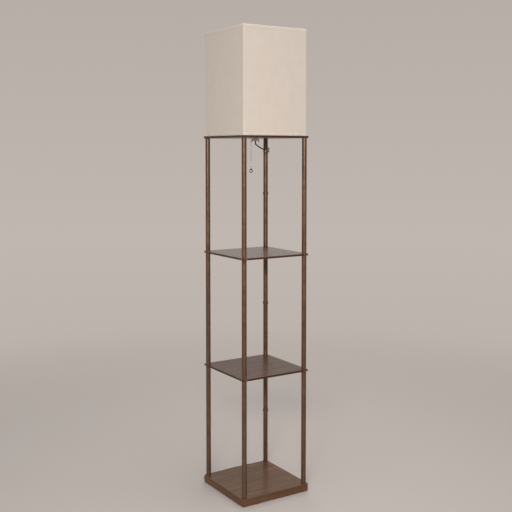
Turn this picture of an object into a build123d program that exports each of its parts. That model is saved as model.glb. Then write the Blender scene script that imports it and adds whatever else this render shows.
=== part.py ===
from build123d import *
import os
from math import atan2, cos, degrees, pi, radians, sin, sqrt, tan

# Shelf floor lamp. Millimetres, +Z up, origin on the floor under the middle of the base.
# The front post stands at (-X, -Y), the right one at (+X, -Y), the left one at (-X, +Y)
# and the back one, which carries the cord, at (+X, +Y).

# ---- driving dimensions -------------------------------------------------------------
PLATE_SIDE = 260.0            # both shelves and the top board are square
PLATE_CORNER = 2.5
PLATE_EASE = 0.8              # small round on the long edges
SHELF_THICK = 7.0
TOP_THICK = 8.0
BASE_SIDE = 265.0
BASE_CORNER = 8.0
BASE_EASE = 1.5
BASE_THICK = 25.0
FELT_THICK = 1.0
BAY_HEIGHT = 390.0            # one length of post between two plates
POST_INSET = 10.5             # post axis to plate edge
POST_RADIUS = 8.0
POST_WALL = 1.0
PLUG_LENGTH = 16.0            # threaded plug pressed into each post end
M6_RADIUS = 3.0
FIT_GAP = 0.03                # radial gap of a close fit

SHADE_SIDE = 250.0
SHADE_HEIGHT = 356.6
SHADE_CORNER = 3.0
CLOTH_THICK = 0.4             # linen skin and, as thick again, its turned hems
LINER_THICK = 0.6
HEM_HEIGHT = 8.0
SHADE_WIRE = 1.6              # radius of the square wires
UPRIGHT_WIRE = 1.3
SEAT_GAP = 0.3                # shade wire above the board

SWITCH_ANGLE = 190.0          # where the pull chain hangs, about the lamp's axis
CHAIN_REACH = 20.5            # chain to lamp axis
BEAD_RADIUS = 1.2
BEAD_PITCH = 3.4
LINK_RADIUS = 0.4
UPPER_BEADS = 13              # from the switch lever down to the swivel under the board
LOWER_BEADS = 29
KNOB_RADIUS = 6.0

CORD_RADIUS = 2.25
HANK_RUN = 90.0               # straight part of the put-away hank

# ---- heights that follow ------------------------------------------------------------
Z_BASE = FELT_THICK + BASE_THICK
Z_LOWER = Z_BASE + BAY_HEIGHT
Z_UPPER = Z_LOWER + SHELF_THICK + BAY_HEIGHT
Z_UNDER = Z_UPPER + SHELF_THICK + BAY_HEIGHT
Z_TOP = Z_UNDER + TOP_THICK
POST_AT = PLATE_SIDE / 2 - POST_INSET
CORNERS = {"front": (-1, -1), "right": (1, -1), "left": (-1, 1), "back": (1, 1)}
BAYS = {"lower": Z_BASE, "middle": Z_LOWER + SHELF_THICK, "upper": Z_UPPER + SHELF_THICK}
Z_SOCKET = Z_TOP + 4.0        # lower end of the lampholder, on its lock nut


# ---- helpers ------------------------------------------------------------------------
def rod(radius, low, high, x=0.0, y=0.0):
    """Upright cylinder between two heights."""
    return Pos(x, y, (low + high) / 2) * Cylinder(radius, high - low)


def tube(outer, inner, low, high, x=0.0, y=0.0):
    return rod(outer, low, high, x, y) - rod(inner, low - 1, high + 1, x, y)


def block(x, y, z):
    """Box between (low, high) pairs along X, Y and Z."""
    centre = [(pair[0] + pair[1]) / 2 for pair in (x, y, z)]
    size = [pair[1] - pair[0] for pair in (x, y, z)]
    return Pos(*centre) * Box(*size)


def turned(*edges):
    """Solid of revolution about Z from edges drawn as (radius, height)."""
    return revolve(Plane.XZ * make_face(edges), Axis.Z)


def plate(side, corner, low, high, ease):
    """Square board with rounded corners and eased long edges."""
    body = Pos(0, 0, low) * extrude(RectangleRounded(side, side, corner), high - low)
    rims = body.edges().group_by(Axis.Z)
    return fillet(rims[0] + rims[-1], ease)


def square_band(outer, corner, wall, low, high):
    """Thin square tube with rounded corners."""
    inner = outer - 2 * wall
    ring = RectangleRounded(outer, outer, corner)
    ring -= RectangleRounded(inner, inner, corner - wall)
    return Pos(0, 0, low) * extrude(ring, high - low)


def at_corners(shape, reach=POST_AT):
    """The same piece at all four corners, one solid each."""
    return [Pos(sx * reach, sy * reach, 0) * shape for sx, sy in CORNERS.values()]


def group(pieces):
    """Loose identical pieces that share a node."""
    return Compound([solid for piece in pieces for solid in piece.solids()])


def at_switch(shape):
    """Turns a piece drawn with the chain along +X to where the chain hangs."""
    return Rot(0, 0, SWITCH_ANGLE) * shape


# ---- base ---------------------------------------------------------------------------
BOLT_HEAD = 8.0               # depth of the counterbore that hides a base bolt
WEIGHT_SIDE = 190.0
WEIGHT_THICK = 8.0
POCKET_GAP = 1.5


def base_board():
    body = plate(BASE_SIDE, BASE_CORNER, FELT_THICK, Z_BASE, BASE_EASE)
    pocket = WEIGHT_SIDE + 2 * POCKET_GAP
    body -= Pos(0, 0, FELT_THICK) * extrude(RectangleRounded(pocket, pocket, 6), WEIGHT_THICK + 0.5)
    for hole in at_corners(rod(M6_RADIUS + 0.3, 0, Z_BASE + 1)):
        body -= hole
    for counterbore in at_corners(rod(7.0, 0, FELT_THICK + BOLT_HEAD)):
        body -= counterbore
    return body


def base_weight():
    """Steel plate in the pocket under the base, held up by the base sheet."""
    return Pos(0, 0, FELT_THICK) * extrude(RectangleRounded(WEIGHT_SIDE, WEIGHT_SIDE, 5), WEIGHT_THICK)


def base_felt():
    side = BASE_SIDE - 8
    return extrude(RectangleRounded(side, side, BASE_CORNER - 3), FELT_THICK)


def base_bolts():
    seat = FELT_THICK + BOLT_HEAD
    bolt = rod(M6_RADIUS, seat, Z_BASE + PLUG_LENGTH - 2)
    bolt += Pos(0, 0, seat - 2.1) * Cylinder(5.5, 4.2)
    bolt -= Pos(0, 0, seat - 4.2) * extrude(RegularPolygon(2.5, 6), 2.4)
    return group(at_corners(bolt))


# ---- posts --------------------------------------------------------------------------
def post(corner, bay):
    sx, sy = CORNERS[corner]
    low = BAYS[bay]
    inner = POST_RADIUS - POST_WALL
    return tube(POST_RADIUS, inner, low, low + BAY_HEIGHT, sx * POST_AT, sy * POST_AT)


def post_plugs():
    """Threaded plugs pressed into both ends of every post length."""
    plugs = []
    for low in BAYS.values():
        for end in (low, low + BAY_HEIGHT - PLUG_LENGTH):
            bore = M6_RADIUS + FIT_GAP
            radius = POST_RADIUS - POST_WALL - FIT_GAP
            plugs += at_corners(tube(radius, bore, end, end + PLUG_LENGTH))
    return group(plugs)


def shelf_studs():
    """Studs that pass through a shelf corner and join the posts above and below it."""
    studs = []
    for low in (Z_LOWER, Z_UPPER):
        reach = PLUG_LENGTH - 1
        studs += at_corners(rod(M6_RADIUS, low - reach, low + SHELF_THICK + reach))
    return group(studs)


# ---- shelves and top board ----------------------------------------------------------
def shelf(low):
    body = plate(PLATE_SIDE, PLATE_CORNER, low, low + SHELF_THICK, PLATE_EASE)
    for hole in at_corners(rod(M6_RADIUS + 0.2, low - 1, low + SHELF_THICK + 1)):
        body -= hole
    return body


HEAD_RADIUS = 6.0             # countersunk heads, flush with the board
HEAD_DEPTH = 3.2
NIPPLE_RADIUS = 5.0
EYELET_RADIUS = 3.6


def countersunk(radius, depth, top):
    """Cone of a countersunk head, wide end up at the height top."""
    return Pos(0, 0, top - depth / 2) * Cone(M6_RADIUS, radius, depth)


def top_board():
    body = plate(PLATE_SIDE, PLATE_CORNER, Z_UNDER, Z_TOP, PLATE_EASE)
    for hole in at_corners(rod(M6_RADIUS + 0.2, Z_UNDER - 1, Z_TOP + 1)):
        body -= hole
    for sink in at_corners(countersunk(HEAD_RADIUS + 0.3, HEAD_DEPTH + 0.1, Z_TOP)):
        body -= sink
    body -= rod(NIPPLE_RADIUS + 0.3, Z_UNDER - 1, Z_TOP + 1)
    body -= at_switch(rod(EYELET_RADIUS + 0.05, Z_UNDER - 1, Z_TOP + 1, CHAIN_REACH))
    return body


def top_bolts():
    top = Z_TOP - 0.1
    bolt = rod(M6_RADIUS, Z_UNDER - PLUG_LENGTH + 2, top - HEAD_DEPTH + 0.1)
    bolt += countersunk(HEAD_RADIUS, HEAD_DEPTH, top)
    bolt -= Pos(0, 0, top - 2) * extrude(RegularPolygon(2.2, 6), 3)
    return group(at_corners(bolt))


LOCATOR_AT = 119.0            # outer faces of the angle, just inside the shade's wire
LOCATOR_LEG = 18.0
LOCATOR_THICK = 1.5
LOCATOR_HEIGHT = 12.0
SCREW_AT = LOCATOR_AT - 9.0


def shade_locators():
    """Small angles on the board that keep the shade square on it."""
    angles = []
    for sx, sy in CORNERS.values():
        outer, inner = LOCATOR_AT, LOCATOR_AT - LOCATOR_LEG
        wall = LOCATOR_AT - LOCATOR_THICK
        up = (Z_TOP, Z_TOP + LOCATOR_HEIGHT)
        flat = (Z_TOP, Z_TOP + LOCATOR_THICK)
        angle = block((inner, outer), (wall, outer), up) + block((wall, outer), (inner, outer), up)
        angle += block((inner, outer), (inner, outer), flat)
        angle -= rod(1.8, Z_TOP - 1, Z_TOP + 5, SCREW_AT, SCREW_AT)
        angles.append(scale(angle, by=(sx, sy, 1)))
    return group(angles)


def locator_screws():
    seat = Z_TOP + LOCATOR_THICK
    screw = Pos(0, 0, seat + 0.8) * Cylinder(3.0, 1.6)
    screw = fillet(screw.edges().group_by(Axis.Z)[-1], 0.9)
    screw += rod(1.5, Z_TOP + 0.1, seat)
    screw -= block((-2.2, 2.2), (-0.4, 0.4), (seat + 0.9, seat + 2))
    return group(at_corners(screw, SCREW_AT))


# ---- lampholder fixing through the board --------------------------------------------
WASHER_THICK = 1.5
NUT_HEIGHT = 6.0
Z_NIPPLE_LOW = Z_UNDER - WASHER_THICK - NUT_HEIGHT
Z_NIPPLE_HIGH = Z_SOCKET + 10.0
NIPPLE_BORE = 3.3
Z_EXIT = Z_NIPPLE_LOW - 1.2   # mouth of the cord bushing


def socket_nipple():
    return tube(NIPPLE_RADIUS, NIPPLE_BORE, Z_NIPPLE_LOW, Z_NIPPLE_HIGH)


def nipple_washer():
    return tube(11.0, NIPPLE_RADIUS + 0.2, Z_UNDER - WASHER_THICK, Z_UNDER)


def nipple_lock_nut():
    nut = Pos(0, 0, Z_TOP) * extrude(RegularPolygon(7.0, 6, major_radius=False), Z_SOCKET - Z_TOP)
    return nut - rod(NIPPLE_RADIUS + FIT_GAP, Z_TOP - 1, Z_SOCKET + 1)


WING_ANGLE = -32.5            # the wings lie across the view from the front


def wing_nut():
    """Wing nut under the board; its two wings arch outwards and down."""
    top = Z_UNDER - WASHER_THICK
    hub = Pos(0, 0, top - NUT_HEIGHT / 2) * Cone(6.0, 6.8, NUT_HEIGHT)
    outline = make_face([
        Line((4.5, -0.4), (6.6, -0.4)),
        ThreePointArc((6.6, -0.4), (11.0, -2.7), (13.0, -7.6)),
        ThreePointArc((13.0, -7.6), (12.3, -10.2), (10.0, -9.2)),
        ThreePointArc((10.0, -9.2), (8.7, -5.6), (4.5, -3.4)),
        Line((4.5, -3.4), (4.5, -0.4)),
    ])
    wing = Pos(0, 0, top) * extrude(Plane.XZ * outline, 1.1, both=True)
    body = hub + wing + Rot(0, 0, 180) * wing
    body -= rod(NIPPLE_RADIUS + FIT_GAP, top - 20, top + 1)
    return Rot(0, 0, WING_ANGLE) * body


def cord_bushing():
    neck = tube(NIPPLE_BORE - FIT_GAP, CORD_RADIUS + 0.1, Z_NIPPLE_LOW, Z_NIPPLE_LOW + 5)
    return neck + tube(6.0, CORD_RADIUS + 0.1, Z_EXIT, Z_NIPPLE_LOW)


def chain_eyelet():
    """Rolled eyelet that lines the chain's hole in the board."""
    ring = tube(EYELET_RADIUS, 2.6, Z_UNDER - 0.6, Z_TOP + 0.6, CHAIN_REACH)
    for low in (Z_UNDER - 0.6, Z_TOP):
        ring += tube(5.4, 2.6, low, low + 0.6, CHAIN_REACH)
    return at_switch(ring)


# ---- lampholder ---------------------------------------------------------------------
SHELL_RADIUS = 16.0
CAP_RADIUS = 16.9
CAP_ROUND = 7.5               # the cap's shoulder
CAP_WALL = 0.8
Z_SHELL = Z_SOCKET + 14.0
Z_MOUTH = Z_SOCKET + 61.0
Z_LEVER = Z_SOCKET + 28.0
LEVER_PIVOT = 10.5            # lever pin to lamp axis
LEVER_THICK = 0.8
SLOT_HALF = 1.3               # the lever's fork lets the beads through
BODY_TOP = Z_SOCKET + 34.0


def socket_cap():
    """Spun cup that screws on the nipple and takes the shell in its rim."""
    low, rim = Z_SOCKET, Z_SHELL + 3
    bore = NIPPLE_RADIUS + FIT_GAP
    lean = radians(75)            # from the rim round to the crown

    def cup(radius, neck):
        """Rim, round shoulder and sloping crown, solid down to the nipple's bore."""
        centre = CAP_RADIUS - CAP_ROUND
        start = (centre + radius * cos(lean), Z_SHELL - radius * sin(lean))
        middle = (centre + radius * cos(lean / 2), Z_SHELL - radius * sin(lean / 2))
        end = (centre + radius, Z_SHELL)
        crown = (neck, start[1] - (start[0] - neck) / tan(lean))
        return turned(
            Line((bore, crown[1]), crown),
            Line(crown, start),
            ThreePointArc(start, middle, end),
            Line(end, (end[0], rim)),
            Line((end[0], rim), (bore, rim)),
            Line((bore, rim), (bore, crown[1])),
        )

    collar = tube(6.8, bore, low, low + 6.4)
    return collar + cup(CAP_ROUND, 6.8) - cup(CAP_ROUND - CAP_WALL, bore + 0.5)


def lever_slot():
    """Opening in the side wall for the switch lever."""
    return block((LEVER_PIVOT, 19), (-2.8, 2.8), (Z_LEVER - 9.0, Z_LEVER + 3.5))


def socket_shell():
    wall = tube(SHELL_RADIUS, SHELL_RADIUS - 0.5, Z_SHELL, Z_MOUTH)
    wall += tube(SHELL_RADIUS + 0.6, SHELL_RADIUS - 0.5, Z_MOUTH - 2, Z_MOUTH)
    return at_switch(wall - lever_slot())


def socket_insulator():
    return at_switch(tube(15.3, 14.7, Z_SHELL + 4, Z_MOUTH + 1) - lever_slot())


def socket_body():
    """Moulded switch body with the lever's pocket and the pin hole across it."""
    low = Z_SHELL + 4
    body = rod(14.5, low, BODY_TOP) - rod(6.0, low - 1, low + 5)
    body -= block((6.0, 16), (-2.0, 2.0), (low + 0.5, BODY_TOP - 1.5))
    body -= Pos(LEVER_PIVOT, 0, Z_LEVER) * Rot(90, 0, 0) * Cylinder(1.05, 40)
    return at_switch(body)


def lever_pin():
    return at_switch(Pos(LEVER_PIVOT, 0, Z_LEVER) * Rot(90, 0, 0) * Cylinder(1.0, 16))


def switch_lever():
    """Forked lever: the chain's top bead sits on its prongs."""
    tip = CHAIN_REACH + 1.6
    arm = block((LEVER_PIVOT, tip), (-1.7, 1.7), (Z_LEVER - LEVER_THICK / 2, Z_LEVER + LEVER_THICK / 2))
    widened = block((tip - 3.4, tip), (-2.3, 2.3), (Z_LEVER - LEVER_THICK / 2, Z_LEVER + LEVER_THICK / 2))
    eye = Pos(LEVER_PIVOT, 0, Z_LEVER) * Rot(90, 0, 0) * Cylinder(2.2, 3.4)
    bore = Pos(LEVER_PIVOT, 0, Z_LEVER) * Rot(90, 0, 0) * Cylinder(1.06, 10)
    fork = block((tip - 3.0, tip + 1), (-SLOT_HALF, SLOT_HALF), (Z_LEVER - 2, Z_LEVER + 2))
    return at_switch(arm + widened + eye - bore - fork)


def chain_bell():
    """Guide on the shell's side: a domed boss with a flared mouth for the chain."""
    top, neck, mouth = Z_LEVER + 5.5, Z_LEVER - 8.5, Z_LEVER - 13.0

    def boss(radius, flare, crown, low, end):
        shape = turned(
            Line((0, end), (flare, end)),
            ThreePointArc((flare, end), (radius + (flare - radius) * 0.25, end + (low - end) * 0.6), (radius, low)),
            Line((radius, low), (radius, crown - 2)),
            ThreePointArc((radius, crown - 2), (radius - 0.7, crown - 0.6), (radius - 2, crown)),
            Line((radius - 2, crown), (0, crown)),
            Line((0, crown), (0, end)),
        )
        return Pos(CHAIN_REACH, 0, 0) * shape

    outer = boss(4.9, 6.2, top, neck, mouth) + block((14, CHAIN_REACH), (-4.0, 4.0), (neck, top - 1))
    inner = boss(4.2, 5.5, top - 0.8, neck, mouth - 0.01)
    inner += block((13, CHAIN_REACH), (-3.2, 3.2), (neck + 0.8, top - 1.8))
    shell = rod(SHELL_RADIUS, mouth - 1, top + 1)
    cap_rim = rod(SHELL_RADIUS + 1.1, mouth - 1, Z_SHELL + 3.1)
    return at_switch(outer - inner - shell - cap_rim)


def screw_shell():
    """Aluminium shell that takes the bulb's cap, with a floor on the body."""
    wall = tube(13.75, 13.35, BODY_TOP, Z_MOUTH - 2)
    return wall + tube(13.75, 5.5, BODY_TOP, BODY_TOP + 0.8)


def centre_contact():
    return rod(3.5, BODY_TOP, BODY_TOP + 1.4)


# ---- bulb ---------------------------------------------------------------------------
Z_BULB = BODY_TOP + 1.8       # lower end of the bulb's contact
BULB_RADIUS = 30.0
BULB_LENGTH = 110.0
BULB_NECK = 11.9
BULB_SHOULDER = 45.0          # hollow round between the neck and the ball


def bulb_base():
    """Screw cap with rolled threads, open at the top for the glass."""
    low = Z_BULB + 4.0
    ridge, count, pitch = 0.45, 5, 3.6
    start = (12.55, low + 1.5)
    edges = [Line((0, low), (11.0, low)), Line((11.0, low), start)]
    for turn in range(count):
        z = low + 1.5 + turn * pitch
        edges.append(ThreePointArc((12.55, z), (12.55 + ridge, z + pitch / 2), (12.55, z + pitch)))
    top = low + 1.5 + count * pitch
    edges += [
        Line((12.55, top), (12.95, top + 2.0)),
        Line((12.95, top + 2.0), (12.95, top + 3.0)),
        Line((12.95, top + 3.0), (12.3, top + 3.0)),
        Line((12.3, top + 3.0), (12.0, low + 1.2)),
        Line((12.0, low + 1.2), (0, low + 1.2)),
        Line((0, low + 1.2), (0, low)),
    ]
    return turned(*edges)


def bulb_insulator():
    low = Z_BULB + 1.2
    return Pos(0, 0, low + 1.4) * Cone(5.2, 10.6, 2.8)


def bulb_contact():
    return rod(4.2, Z_BULB, Z_BULB + 1.2)


def bulb_glass():
    """Pear-shaped envelope, blown to an even wall."""
    low = Z_BULB + 16.0
    middle = Z_BULB + BULB_LENGTH - BULB_RADIUS

    def body(inset):
        """Neck, shoulder and ball, each tangent to the next."""
        ball, neck, hollow = BULB_RADIUS - inset, BULB_NECK - inset, BULB_SHOULDER + inset
        across, slant = neck + hollow, ball + hollow
        drop = sqrt(slant**2 - across**2)
        half_turn = atan2(drop, across) / 2
        start = (neck, middle - drop)
        bend = (across - hollow * cos(half_turn), middle - drop + hollow * sin(half_turn))
        meet = (ball * across / slant, middle - ball * drop / slant)
        return turned(
            Line((0, low + inset), (neck, low + inset)),
            Line((neck, low + inset), start),
            ThreePointArc(start, bend, meet),
            ThreePointArc(meet, (ball, middle), (0, middle + ball)),
            Line((0, middle + ball), (0, low + inset)),
        )

    return body(0.0) - body(0.8)


# ---- pull chain ---------------------------------------------------------------------
TOP_BEAD = 1.9
Z_TOP_BEAD = Z_LEVER + LEVER_THICK / 2 + sqrt(TOP_BEAD**2 - SLOT_HALF**2) + 0.1
Z_FIRST_BEAD = Z_TOP_BEAD - 3.5


def bead_height(index):
    return Z_FIRST_BEAD - index * BEAD_PITCH


Z_SWIVEL = bead_height(UPPER_BEADS - 1) - BEAD_RADIUS - 0.3


def bead(z):
    """One hollow-looking bead of the chain, drawn with a short waist at each end."""
    half = BEAD_RADIUS
    neck = LINK_RADIUS
    rise = sqrt(half**2 - neck**2)
    return turned(
        Line((0, z - rise), (neck, z - rise)),
        ThreePointArc((neck, z - rise), (half, z), (neck, z + rise)),
        Line((neck, z + rise), (0, z + rise)),
        Line((0, z + rise), (0, z - rise)),
    )


def beads(first, count, link_top, link_low):
    """Run of beads strung on their links."""
    chain = rod(LINK_RADIUS, link_low, link_top)
    for index in range(first, first + count):
        chain += bead(bead_height(index))
    return Pos(CHAIN_REACH, 0, 0) * chain


def pull_chain_upper():
    last = bead_height(UPPER_BEADS - 1)
    chain = beads(0, UPPER_BEADS, Z_TOP_BEAD, last)
    chain += Pos(CHAIN_REACH, 0, Z_TOP_BEAD) * Sphere(TOP_BEAD)
    return at_switch(chain)


Z_KNOB_TOP = bead_height(UPPER_BEADS + LOWER_BEADS - 1) - BEAD_RADIUS - 0.4


def pull_chain_lower():
    return at_switch(beads(UPPER_BEADS, LOWER_BEADS, Z_SWIVEL + 0.1, Z_KNOB_TOP))


def pull_knob():
    """Turned end piece: a ball under a short collar, with a small button below."""
    knob = Sphere(KNOB_RADIUS)
    knob += Pos(0, 0, KNOB_RADIUS + 0.7) * Cone(2.5, 1.7, 3.0)
    knob += Pos(0, 0, -KNOB_RADIUS - 0.15) * Cone(1.6, 2.0, 1.1)
    return at_switch(Pos(CHAIN_REACH, 0, Z_KNOB_TOP - 2.2 - KNOB_RADIUS) * knob)


# ---- shade --------------------------------------------------------------------------
Z_SHADE = Z_TOP + SEAT_GAP
Z_SHADE_TOP = Z_SHADE + SHADE_HEIGHT
CLOTH_SIDE = SHADE_SIDE - 2 * CLOTH_THICK
LINER_SIDE = CLOTH_SIDE - 2 * CLOTH_THICK
WIRE_SIDE = LINER_SIDE - 2 * LINER_THICK - 2 * SHADE_WIRE
WIRE_LEVELS = (Z_SHADE + SHADE_WIRE, Z_SHADE_TOP - SHADE_WIRE - 0.4)


def shade_fabric():
    return square_band(CLOTH_SIDE, SHADE_CORNER - CLOTH_THICK, CLOTH_THICK, Z_SHADE, Z_SHADE_TOP)


def shade_liner():
    return square_band(LINER_SIDE, SHADE_CORNER - 2 * CLOTH_THICK, LINER_THICK, Z_SHADE, Z_SHADE_TOP)


def shade_hems():
    """The linen's turned edges, one round each rim."""
    lows = (Z_SHADE, Z_SHADE_TOP - HEM_HEIGHT)
    return group([square_band(SHADE_SIDE, SHADE_CORNER, CLOTH_THICK, low, low + HEM_HEIGHT) for low in lows])


def shade_wire(height):
    """Square wire that stiffens one rim of the shade."""
    corner = 4.0
    path = Pos(0, 0, height) * RectangleRounded(WIRE_SIDE, WIRE_SIDE, corner).wire()
    start = Plane(origin=path @ 0, z_dir=path % 0)
    return sweep(start * Circle(SHADE_WIRE), path)


def shade_wires():
    return group([shade_wire(height) for height in WIRE_LEVELS])


def shade_uprights():
    """Corner wires welded between the two square wires."""
    reach = WIRE_SIDE / 2 - 1.4
    low, high = WIRE_LEVELS
    rims = shade_wire(low) + shade_wire(high)
    return group([upright - rims for upright in at_corners(rod(UPRIGHT_WIRE, low, high), reach)])


# ---- cord ---------------------------------------------------------------------------
BASE_EDGE = BASE_SIDE / 2
CORD_X = 124.0                # the cord hangs behind the back post, clear of the plates
CORD_Y = PLATE_SIDE / 2 + 3.1
HANK_LOW = 0.7                # the ties lift the hank off the floor
HANK_Z = HANK_LOW + CORD_RADIUS
ROUTE = [
    (0.0, 0.0, Z_EXIT),
    (0.0, 0.0, 1190.0),
    (106.5, 125.5, 1176.0),
    (CORD_X, CORD_Y, 1174.0),
    (CORD_X, CORD_Y, 96.0),
    (126.0, 136.5, 50.0),
    (125.0, 138.5, 16.0),
    (110.0, 139.3, HANK_Z - 0.2),
    (88.0, 139.25, HANK_Z),
]
NEAR_ROW = 6.75               # first strand of the hank behind the base
FAR_ROW = 47.5
HANK_RIGHT = 80.0
HANK_LEFT = HANK_RIGHT - HANK_RUN
TAIL_ROUTE = [
    (-21.0, 141.5, 7.5),
    (-35.0, 142.0, 6.4),
    (-48.0, 143.8, 5.2),
    (-62.0, 145.5, 5.6),
]


def corner_radii(points):
    """As large an arc at each corner of a route as its two runs allow."""
    radii = []
    for before, here, after in zip(points, points[1:], points[2:]):
        arrive = Vector(*here) - Vector(*before)
        leave = Vector(*after) - Vector(*here)
        shorter = min(arrive.length, leave.length)
        radii.append(0.45 * shorter / tan(radians(arrive.get_angle(leave)) / 2))
    return radii


def cord_tube(points, name):
    """Round cord along straight runs joined by tangent arcs."""
    radii = corner_radii(points)
    path = FilletPolyline(*points, radius=radii)
    cord = sweep(Plane(origin=path @ 0, z_dir=path % 0) * Circle(CORD_RADIUS), path)
    drift = cord.volume / (pi * CORD_RADIUS**2 * path.length) - 1
    print(name, "length", round(path.length, 1), "radii", [round(radius, 1) for radius in radii])
    print(name, "volume against section times length", round(drift, 5))
    return cord


def cord_lead():
    return cord_tube(ROUTE, "cord_lead")


def cord_tail():
    return cord_tube(TAIL_ROUTE, "cord_tail")


HANK_OUTER = (FAR_ROW - NEAR_ROW) / 2 + CORD_RADIUS
HANK_SPAN = 4.3 * CORD_RADIUS     # strands lying side by side
HANK_HIGH = 4.1 * CORD_RADIUS     # near half, where a strand lies on top
HANK_FLAT = 2.1 * CORD_RADIUS     # far edge
HANK_MIDDLE = ((HANK_LEFT + HANK_RIGHT) / 2, BASE_EDGE + (NEAR_ROW + FAR_ROW) / 2)
TIE_THICK = 0.6


def above_hank(lift):
    """Everything over the hank's top, which slopes down on the half away from the base."""
    reach, far_above = HANK_OUTER + 1, 3 * HANK_HIGH
    side = make_face(Polyline(
        (-reach, HANK_HIGH), (0, HANK_HIGH), (reach, HANK_FLAT), (reach, far_above), (-reach, far_above),
        close=True,
    ))
    return Pos(*HANK_MIDDLE, HANK_LOW + lift) * extrude(Plane.YZ * side, HANK_RUN + HANK_OUTER, both=True)


def cord_hank():
    """Outer shape of the put-away cord: a flat oval hank, higher on its near side."""
    inner = HANK_OUTER - HANK_SPAN
    ring = SlotCenterToCenter(HANK_RUN, 2 * HANK_OUTER) - SlotCenterToCenter(HANK_RUN, 2 * inner)
    return Pos(*HANK_MIDDLE, HANK_LOW) * extrude(ring, 2 * HANK_HIGH) - above_hank(0)


def hank_ties():
    """Two ties that bind the near and the far strands of the hank."""
    x, y = HANK_MIDDLE
    ties = []
    for side in (-1, 1):
        edges = sorted((side * (HANK_OUTER + TIE_THICK), side * (HANK_OUTER - HANK_SPAN - TIE_THICK)))
        band = block((x - 3, x + 3), (y + edges[0], y + edges[1]), (0.05, HANK_LOW + 2 * HANK_HIGH))
        ties.append(band - cord_hank() - above_hank(TIE_THICK))
    return group(ties)


PLUG_HEIGHT = 11.0
PLUG_WIDTH = 20.0
PLUG_BODY = 24.0
RELIEF = 18.0


def plug_body():
    """Moulded flat plug with its tapered relief, lying beside the hank."""
    x, y, _ = TAIL_ROUTE[-1]
    z = PLUG_HEIGHT / 2 + 0.1
    body = Pos(x - RELIEF - PLUG_BODY / 2, y, z) * Box(PLUG_BODY, PLUG_WIDTH, PLUG_HEIGHT)
    body = fillet(body.edges().filter_by(Axis.X), 3.5)
    body = chamfer(body.faces().sort_by(Axis.X)[-1].edges(), 2.0)
    relief = Pos(x - RELIEF / 2, y, z) * Rot(0, -90, 0) * Cone(CORD_RADIUS + 0.9, 4.6, RELIEF)
    return body + relief


def plug_blades():
    x, y, _ = TAIL_ROUTE[-1]
    z = PLUG_HEIGHT / 2 + 0.1
    start = x - RELIEF - PLUG_BODY
    blades = []
    for side, width in ((-1, 6.3), (1, 7.9)):
        blade = block((start - 17.4, start), (-0.8, 0.8), (z - width / 2, z + width / 2))
        blade -= Pos(start - 14.0, 0, z) * Rot(90, 0, 0) * Cylinder(1.5, 4)
        tip = blade.faces().sort_by(Axis.X)[0].edges().filter_by(Axis.Y)
        blades.append(Pos(0, y + side * 6.35, 0) * chamfer(tip, 1.5))
    return group(blades)


# ---- what holds the cord on the back post -------------------------------------------
TIE_LOW = 1162.0
TIE_HEIGHT = 7.5
CLIP_HEIGHTS = (1010.0, 612.0, 215.0)
CLIP_OPENING = 237.5          # a clip's arms leave the post's front bare


def around_cord(post_gap, cord_gap):
    """Outline that runs round the post and the cord behind it."""
    post_ring = Pos(POST_AT, POST_AT) * Circle(POST_RADIUS + post_gap)
    cord_ring = Pos(CORD_X, CORD_Y) * Circle(CORD_RADIUS + cord_gap)
    return make_hull([post_ring.edge(), cord_ring.edge()])


def post_tie():
    """Cable tie round post and cord, with its head and free tail on the right."""
    band = around_cord(1.25, 2.5) - around_cord(0.05, 1.3)
    tie = Pos(0, 0, TIE_LOW) * extrude(band, TIE_HEIGHT)
    right = Rot(0, 0, -32.5)
    head = right * block((POST_RADIUS + 0.9, POST_RADIUS + 4.6), (-3.6, 3.6), (-0.5, TIE_HEIGHT + 0.5))
    curl = make_face([
        ThreePointArc((10.2, 7.0), (12.6, 12.0), (10.4, 17.0)),
        Line((10.4, 17.0), (9.6, 16.4)),
        ThreePointArc((9.6, 16.4), (11.4, 12.0), (9.0, 7.0)),
        Line((9.0, 7.0), (10.2, 7.0)),
    ])
    tail = right * extrude(Plane.XZ * curl, 2.6, both=True)
    return tie + Pos(POST_AT, POST_AT, TIE_LOW) * (head + tail)


def cord_clips():
    """Moulded clips: an open ring on the post with a small open ring for the cord."""
    offset = Vector(CORD_X - POST_AT, CORD_Y - POST_AT)
    angle = degrees(atan2(offset.Y, offset.X))
    grip = Circle(POST_RADIUS + 1.4) - Circle(POST_RADIUS + 0.05)
    grip -= Rot(0, 0, CLIP_OPENING) * Pos(POST_RADIUS + 3.5, 0) * Rectangle(14, 14.5)
    holder = Circle(CORD_RADIUS + 1.2)
    web = Rot(0, 0, angle) * Pos((POST_RADIUS + offset.length) / 2, 0) * Rectangle(8, 4)
    hole = Circle(CORD_RADIUS + 0.1)
    mouth = Rot(0, 0, angle) * Pos(4.0, 0) * Rectangle(6, 3.4)
    shift = Pos(offset.X, offset.Y)
    profile = grip + shift * holder + web - shift * hole - shift * mouth - Circle(POST_RADIUS + 0.05)
    clips = [Pos(POST_AT, POST_AT, low) * extrude(profile, 8.0) for low in CLIP_HEIGHTS]
    return group(clips)


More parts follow.
